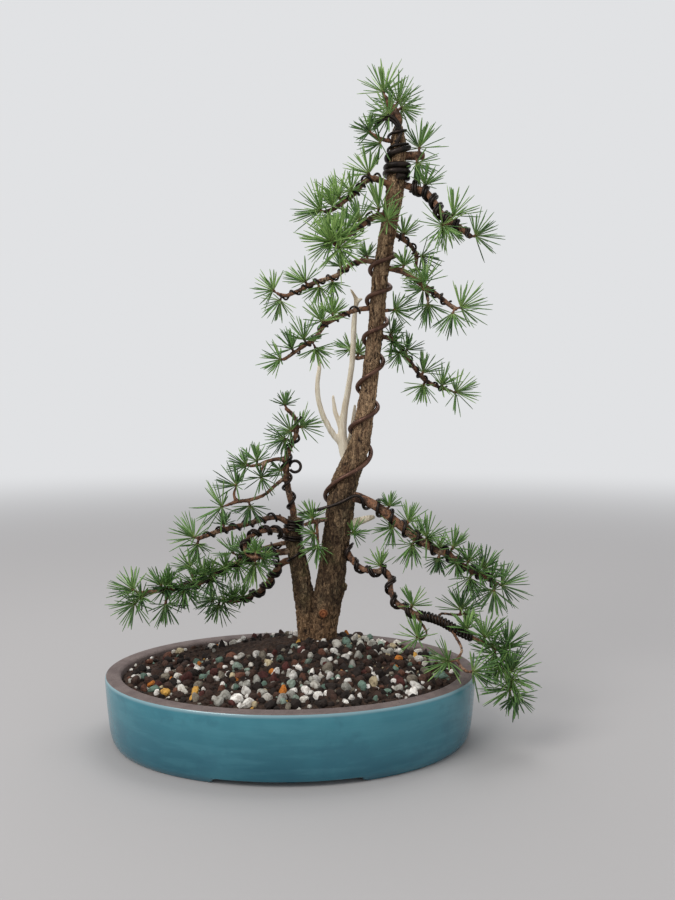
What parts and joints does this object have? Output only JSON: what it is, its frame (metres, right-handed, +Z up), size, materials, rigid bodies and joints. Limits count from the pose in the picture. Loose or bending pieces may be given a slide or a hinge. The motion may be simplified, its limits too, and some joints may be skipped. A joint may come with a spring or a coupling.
{
  "type": "larch bonsai",
  "caption": "Larch bonsai with two trunks, bleached deadwood and wired branches carrying sprays of soft needles, planted in stone granules in a low oval glazed pot.",
  "frame": {"origin": "under the middle of the whole object's bounding box, on the surface that the pot stands on", "axes": "+Z up the trunk, +X to the viewer's right, +Y to the back, with the pot's front notch facing -Y"},
  "size_m": [0.3606, 0.209, 0.5585],
  "materials": {
    "glaze": "blue-green glazed stoneware, with a bare grey-brown clay rim",
    "granules": "loose mixed stone granules over growing mix, matt",
    "mesh": "black plastic drainage mesh",
    "bark": "brown-grey fissured bark",
    "deadwood": "bleached bare wood, matt",
    "copper_wire": "brown anodised wire, satin",
    "dark_wire": "dark brown anodised wire, satin",
    "leafy": "brown twigs with soft green needles"
  },
  "bodies": {
    "root": {"pot": "glaze", "soil": "granules", "drainage_mesh_left": "mesh", "drainage_mesh_right": "mesh", "trunk": "bark", "jin_main": "deadwood", "jin_right": "deadwood", "trunk_wire": "copper_wire", "crown_wire": "dark_wire", "crown": "leafy", "crown_left": "leafy", "crown_right": "leafy", "branch_left_1": "leafy", "branch_left_2": "leafy", "branch_left_3": "leafy", "branch_left_4": "leafy", "branch_left_5": "leafy", "branch_right_1": "leafy", "branch_right_2": "leafy", "branch_right_3": "leafy", "branch_right_4": "leafy", "branch_right_5": "leafy", "branch_right_6": "leafy", "branch_second_1": "leafy", "branch_second_2": "leafy", "branch_second_3": "leafy", "branch_second_4": "leafy", "branch_second_5": "leafy", "branch_middle": "leafy", "leader": "leafy", "spur_front": "leafy", "spur_right": "leafy", "spur_low_right": "leafy", "leader_wire": "dark_wire", "wire_left_1": "dark_wire", "wire_left_2": "dark_wire", "wire_left_3": "dark_wire", "wire_left_4": "dark_wire", "wire_right_1": "dark_wire", "wire_right_2": "dark_wire", "wire_right_3": "dark_wire", "wire_right_4": "dark_wire", "wire_right_5": "dark_wire", "wire_right_6": "dark_wire", "wire_second_1": "dark_wire", "wire_second_2": "dark_wire", "wire_second_3": "dark_wire", "wire_second_4": "dark_wire", "wire_second_5": "dark_wire"}
  },
  "joints": []
}
